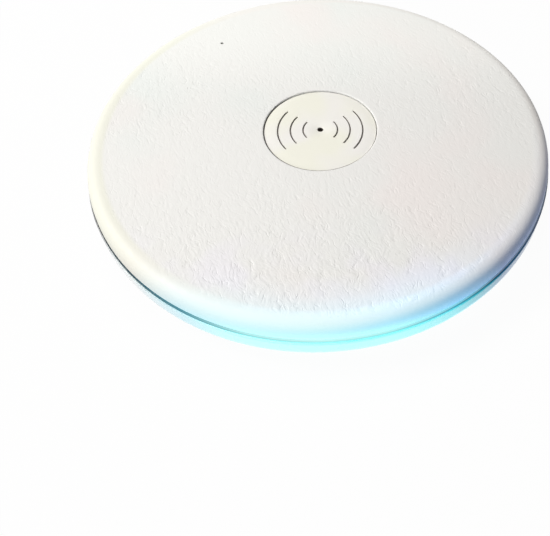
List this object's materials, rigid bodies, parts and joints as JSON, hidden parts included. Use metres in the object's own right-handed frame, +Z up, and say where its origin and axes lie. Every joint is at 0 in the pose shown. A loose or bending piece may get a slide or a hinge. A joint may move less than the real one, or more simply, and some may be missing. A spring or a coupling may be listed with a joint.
{
  "type": "pillow speaker",
  "caption": "Flat round speaker for use under a pillow, with a grained cover, a driven centre plate, a light ring in its seam, side keys and a charging socket.",
  "frame": {"origin": "under the centre of the disc, on the surface that the feet stand on", "axes": "+Z up through the disc, +Y towards the back edge with the charging socket, +X to the right seen from the front; the centre plate's arc marks lie along X"},
  "size_m": [0.1, 0.1, 0.0116],
  "materials": {
    "cover_white": "soft-touch moulding with a fine leather grain and a smooth rim",
    "shell_white": "smooth translucent white moulding",
    "smoked_ring": "smoked clear moulding that glows when lit",
    "plate_cream": "fine matte moulding",
    "key_white": "fine matte moulding",
    "inner_plastic": "black moulding",
    "plug_plastic": "natural nylon",
    "plunger": "brown moulding",
    "foam": "closed-cell foam",
    "foot_rubber": "grey rubber",
    "board_green": "green solder mask",
    "strip_white": "white film",
    "lamp": "clear resin over a white cup",
    "chip_black": "black epoxy",
    "screw_steel": "zinc-plated",
    "spring_steel": "rolled",
    "magnet": "nickel-plated",
    "copper": "enamelled copper wire",
    "cell_foil": "laminated foil pouch",
    "microphone_case": "gilt can",
    "lead_red": "red insulation",
    "lead_black": "black insulation"
  },
  "bodies": {
    "case": {"top_cover": "cover_white", "bottom_shell": "shell_white", "light_ring": "smoked_ring", "centre_plate": "plate_cream", "clamp_ring": "inner_plastic", "exciter_frame": "inner_plastic", "coil_carrier": "inner_plastic", "port_core": "inner_plastic", "switch_power": "inner_plastic", "switch_minus": "inner_plastic", "switch_plus": "inner_plastic", "battery_socket": "plug_plastic", "battery_plug": "plug_plastic", "exciter_socket": "plug_plastic", "exciter_plug": "plug_plastic", "strip_socket": "plug_plastic", "upper_gasket": "foam", "lower_gasket": "foam", "cell_tape": "foam", "microphone_boot": "foam", "foot_1": "foot_rubber", "foot_2": "foot_rubber", "foot_3": "foot_rubber", "foot_4": "foot_rubber", "main_board": "board_green", "guard_board": "board_green", "light_strip": "strip_white", "lamp_1": "lamp", "lamp_2": "lamp", "lamp_3": "lamp", "lamp_4": "lamp", "lamp_5": "lamp", "lamp_6": "lamp", "lamp_7": "lamp", "radio_chip": "chip_black", "amplifier_chip": "chip_black", "charger_chip": "chip_black", "inductor": "chip_black", "case_screws": "screw_steel", "clamp_screws": "screw_steel", "board_screws": "screw_steel", "exciter_spring": "spring_steel", "exciter_yoke": "spring_steel", "pole_plate": "spring_steel", "port_shell": "spring_steel", "magnet": "magnet", "voice_coil": "copper", "battery_cell": "cell_foil", "microphone": "microphone_case", "battery_lead_red": "lead_red", "exciter_lead_red": "lead_red", "battery_lead_black": "lead_black", "exciter_lead_black": "lead_black"},
    "power_key": {"key_power": "key_white", "plunger_power": "plunger"},
    "minus_key": {"key_minus": "key_white", "plunger_minus": "plunger"},
    "plus_key": {"key_plus": "key_white", "plunger_plus": "plunger"}
  },
  "joints": [
    {"name": "power_press", "type": "slide", "parent": "case", "child": "power_key", "axis": [-0.4067, -0.9135, 0], "range_m": [0, 0.00025], "stiffness_N_per_m": 400, "springref_m": -0.002},
    {"name": "minus_press", "type": "slide", "parent": "case", "child": "minus_key", "axis": [-0.5877, -0.8091, 0], "range_m": [0, 0.00025], "stiffness_N_per_m": 400, "springref_m": -0.002},
    {"name": "plus_press", "type": "slide", "parent": "case", "child": "plus_key", "axis": [-0.743, -0.6693, 0], "range_m": [0, 0.00025], "stiffness_N_per_m": 400, "springref_m": -0.002}
  ]
}
